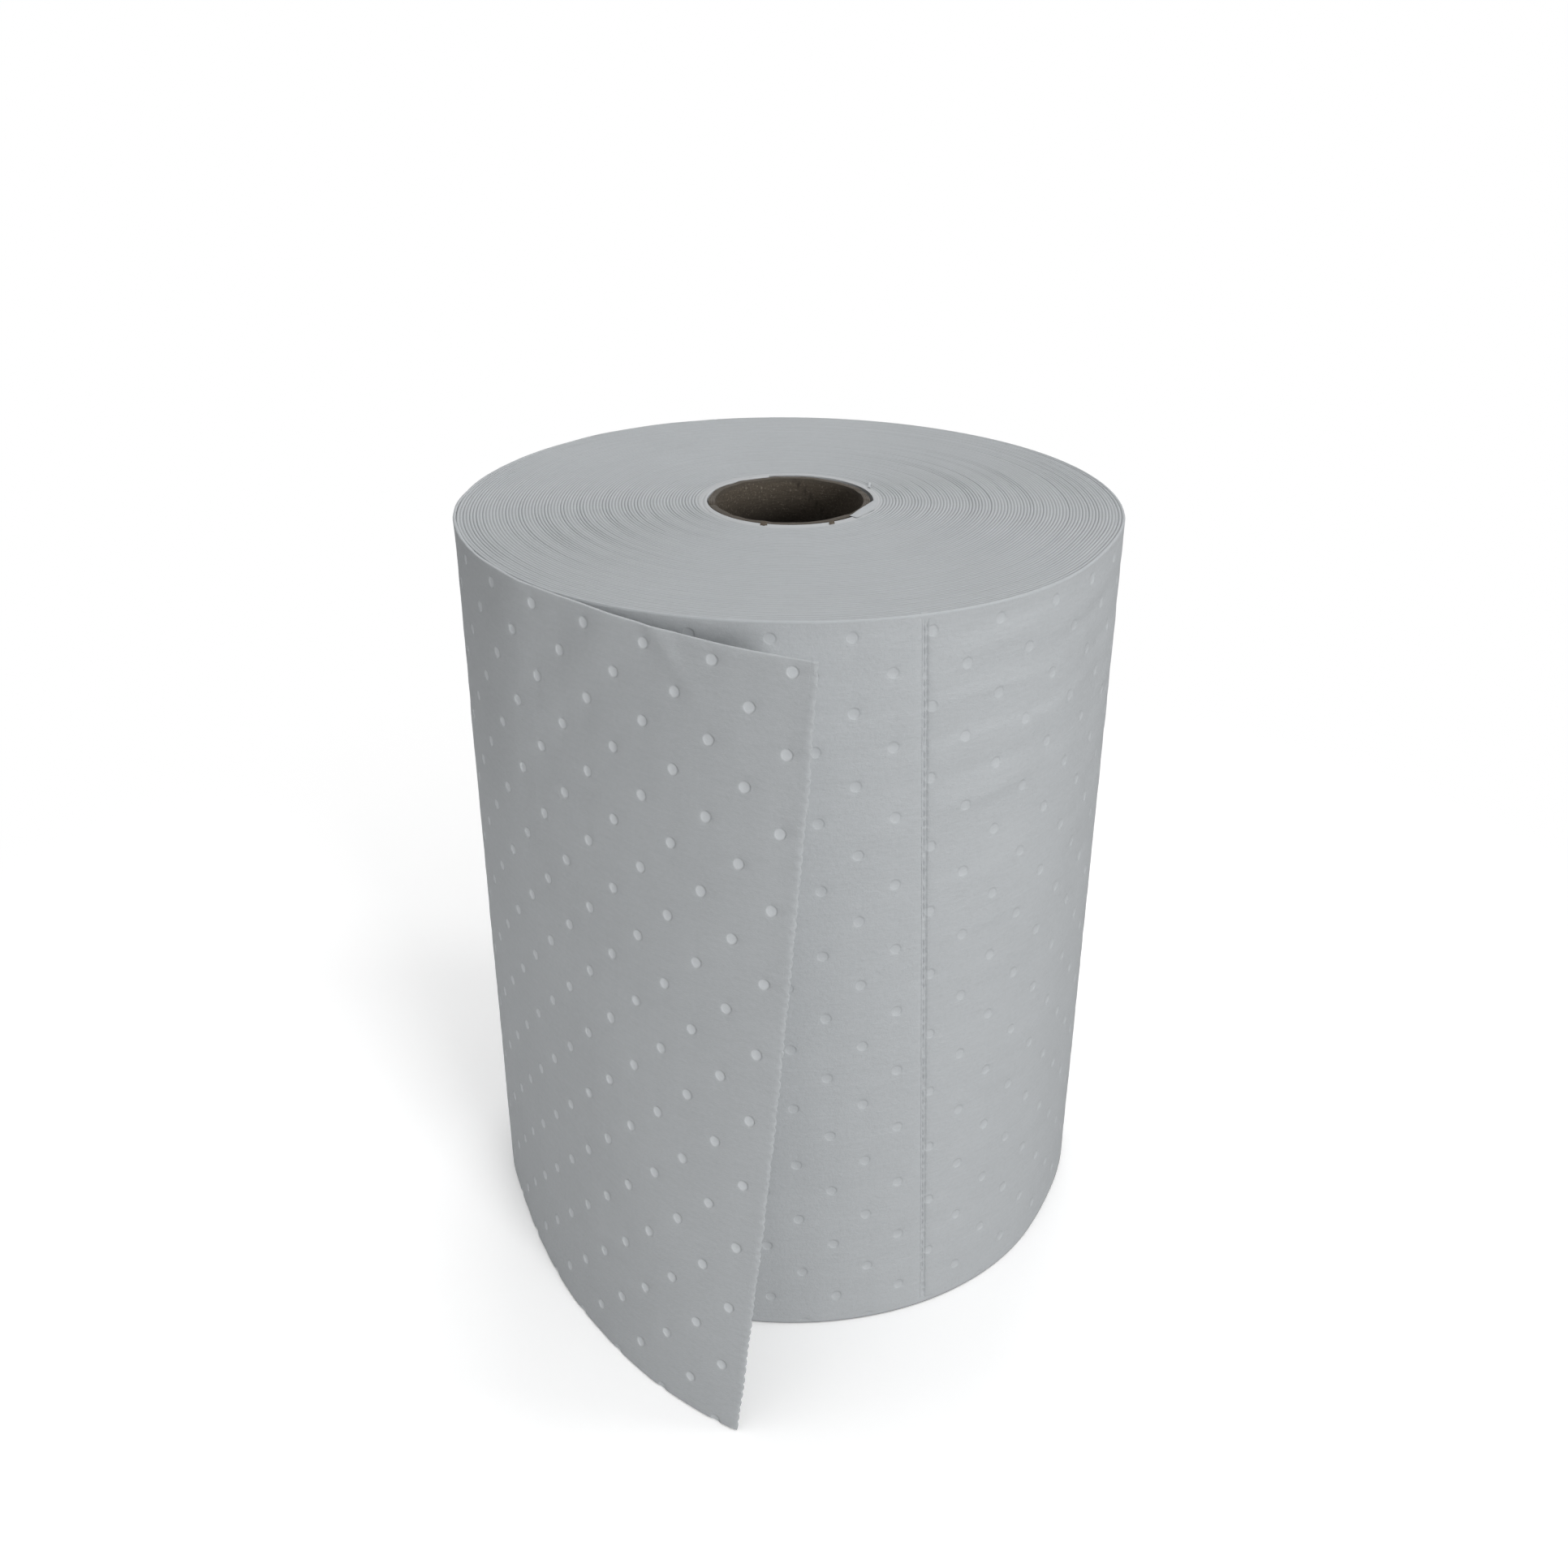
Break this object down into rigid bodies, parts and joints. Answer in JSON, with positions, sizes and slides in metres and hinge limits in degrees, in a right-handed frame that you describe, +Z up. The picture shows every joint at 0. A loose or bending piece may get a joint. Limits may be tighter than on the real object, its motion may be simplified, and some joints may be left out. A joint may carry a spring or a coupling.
{
  "type": "oil absorbent roll",
  "caption": "Wound roll of grey bonded nonwoven absorbent web on an open kraft board tube, standing on one end, its torn loose end curling away from it.",
  "frame": {"origin": "on the axis of the core tube, on the surface that the roll stands on", "axes": "+Z up along the axis of the roll, -Y towards the side where the loose end stands off, +X to the right of it"},
  "size_m": [0.3409, 0.4122, 0.4],
  "materials": {
    "nonwoven_web": "matt, embossed",
    "kraft_board": "matt"
  },
  "bodies": {
    "root": {"absorbent_web": "nonwoven_web", "core_tube": "kraft_board"}
  },
  "joints": []
}
